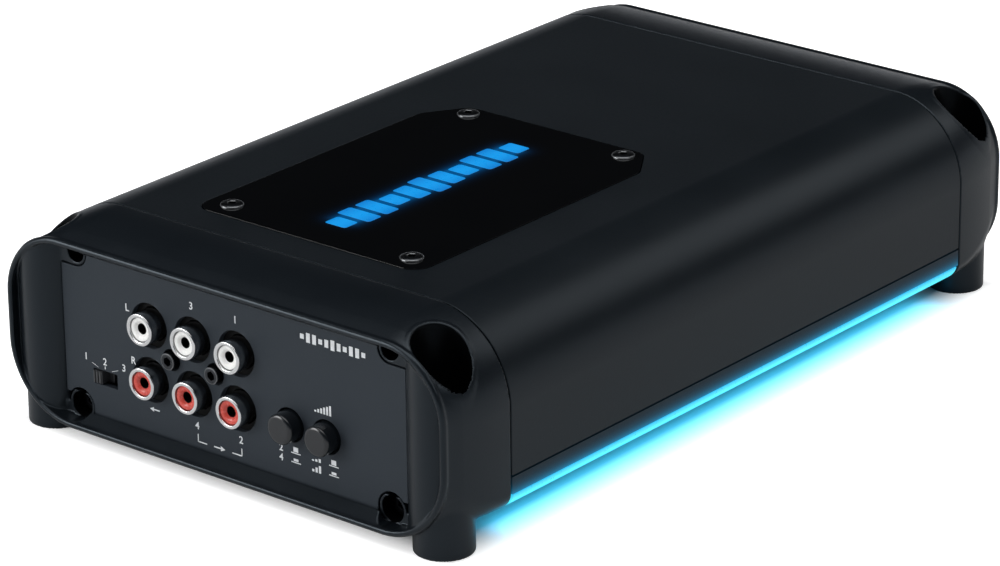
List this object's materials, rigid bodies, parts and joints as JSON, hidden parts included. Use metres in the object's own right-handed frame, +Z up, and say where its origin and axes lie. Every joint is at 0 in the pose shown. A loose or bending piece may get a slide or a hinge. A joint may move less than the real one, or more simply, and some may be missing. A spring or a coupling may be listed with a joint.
{
  "type": "car amplifier",
  "caption": "Low black car audio amplifier with an extruded cover, moulded end caps on corner feet, a lit badge plate, side light strips and input and output panels.",
  "frame": {"origin": "centre of the footprint, on the plane of the feet", "axes": "+X across the amplifier, to the right of someone facing the input panel; +Y from the input end to the output end; +Z up"},
  "size_m": [0.1452, 0.229, 0.0573],
  "materials": {
    "cover_coating": "fine satin black coating on extruded aluminium",
    "cap_plastic": "satin black moulded plastic",
    "tray_steel": "satin black coated steel",
    "panel_coating": "fine matte charcoal coating with white printing",
    "badge_acrylic": "polished black acrylic",
    "emblem_light": "lit blue light guide",
    "strip_light": "lit cyan diffuser",
    "jack_plating": "bright nickel plating",
    "white_insert": "glossy white plastic",
    "red_insert": "glossy red plastic",
    "black_plastic": "fine matte black plastic",
    "button_plastic": "satin black plastic",
    "knob_plastic": "satin black plastic",
    "slider_plastic": "pale grey plastic",
    "black_screw": "black oxide steel",
    "badge_screw": "dark turned steel",
    "board_laminate": "green glass laminate with solder mask",
    "copper_winding": "enamelled copper wire",
    "capacitor_sleeve": "dark blue shrink sleeve",
    "terminal_plastic": "black moulded plastic",
    "fuse_plastic": "clear amber plastic",
    "status_lens": "clear blue lens"
  },
  "bodies": {
    "chassis": {"heatsink_cover": "cover_coating", "bottom_tray": "tray_steel", "front_end_cap": "cap_plastic", "rear_end_cap": "cap_plastic", "front_panel": "panel_coating", "rear_panel": "panel_coating", "badge_plate": "badge_acrylic", "badge_emblem": "emblem_light", "light_strip_left": "strip_light", "light_strip_right": "strip_light", "badge_screw_front_left": "badge_screw", "badge_screw_front_right": "badge_screw", "badge_screw_rear_left": "badge_screw", "badge_screw_rear_right": "badge_screw", "front_cap_screw_lower_left": "black_screw", "front_cap_screw_lower_right": "black_screw", "front_cap_screw_upper_left": "black_screw", "front_cap_screw_upper_right": "black_screw", "rear_cap_screw_lower_left": "black_screw", "rear_cap_screw_lower_right": "black_screw", "rear_cap_screw_upper_left": "black_screw", "rear_cap_screw_upper_right": "black_screw", "rca_screw_1": "black_screw", "rca_screw_2": "black_screw", "rca_shell_upper_1": "jack_plating", "rca_shell_upper_2": "jack_plating", "rca_shell_upper_3": "jack_plating", "rca_shell_lower_1": "jack_plating", "rca_shell_lower_2": "jack_plating", "rca_shell_lower_3": "jack_plating", "rca_insert_upper_1": "white_insert", "rca_insert_upper_2": "white_insert", "rca_insert_upper_3": "white_insert", "rca_insert_lower_1": "red_insert", "rca_insert_lower_2": "red_insert", "rca_insert_lower_3": "red_insert", "rca_housing": "black_plastic", "remote_switch_body": "black_plastic", "channel_mode_button_body": "black_plastic", "input_level_button_body": "black_plastic", "control_block": "black_plastic", "fuse_holder": "black_plastic", "power_terminal_block": "terminal_plastic", "speaker_terminal_block": "terminal_plastic", "fuse_1": "fuse_plastic", "fuse_2": "fuse_plastic", "status_light": "status_lens", "main_board": "board_laminate", "power_transformer": "copper_winding", "filter_capacitor_1": "capacitor_sleeve", "filter_capacitor_2": "capacitor_sleeve"},
    "remote_switch_slider": {"remote_switch_slider": "slider_plastic"},
    "channel_mode_button": {"channel_mode_button": "button_plastic"},
    "input_level_button": {"input_level_button": "button_plastic"},
    "rear_filter_slider": {"rear_filter_slider": "slider_plastic"},
    "front_filter_slider": {"front_filter_slider": "slider_plastic"},
    "rear_gain_knob": {"rear_gain_knob": "knob_plastic"},
    "rear_filter_knob": {"rear_filter_knob": "knob_plastic"},
    "front_filter_knob": {"front_filter_knob": "knob_plastic"},
    "front_gain_knob": {"front_gain_knob": "knob_plastic"}
  },
  "joints": [
    {"name": "remote_switch_slide", "type": "slide", "parent": "chassis", "child": "remote_switch_slider", "axis": [1, 0, 0], "range_m": [0, 0.0047]},
    {"name": "channel_mode_press", "type": "slide", "parent": "chassis", "child": "channel_mode_button", "axis": [0, 1, 0], "range_m": [0, 0.0026], "stiffness_N_per_m": 250},
    {"name": "input_level_press", "type": "slide", "parent": "chassis", "child": "input_level_button", "axis": [0, 1, 0], "range_m": [0, 0.0026], "stiffness_N_per_m": 250},
    {"name": "rear_filter_slide", "type": "slide", "parent": "chassis", "child": "rear_filter_slider", "axis": [-1, 0, 0], "range_m": [0, 0.0047]},
    {"name": "front_filter_slide", "type": "slide", "parent": "chassis", "child": "front_filter_slider", "axis": [-1, 0, 0], "range_m": [0, 0.0047]},
    {"name": "rear_gain_turn", "type": "hinge", "parent": "chassis", "child": "rear_gain_knob", "pos_m": [0.04, 0.11, 0.039], "axis": [0, 1, 0], "range_deg": [-135, 135]},
    {"name": "rear_filter_turn", "type": "hinge", "parent": "chassis", "child": "rear_filter_knob", "pos_m": [0.027, 0.11, 0.039], "axis": [0, 1, 0], "range_deg": [-135, 135]},
    {"name": "front_filter_turn", "type": "hinge", "parent": "chassis", "child": "front_filter_knob", "pos_m": [-0.027, 0.11, 0.039], "axis": [0, 1, 0], "range_deg": [-135, 135]},
    {"name": "front_gain_turn", "type": "hinge", "parent": "chassis", "child": "front_gain_knob", "pos_m": [-0.04, 0.11, 0.039], "axis": [0, 1, 0], "range_deg": [-135, 135]}
  ]
}
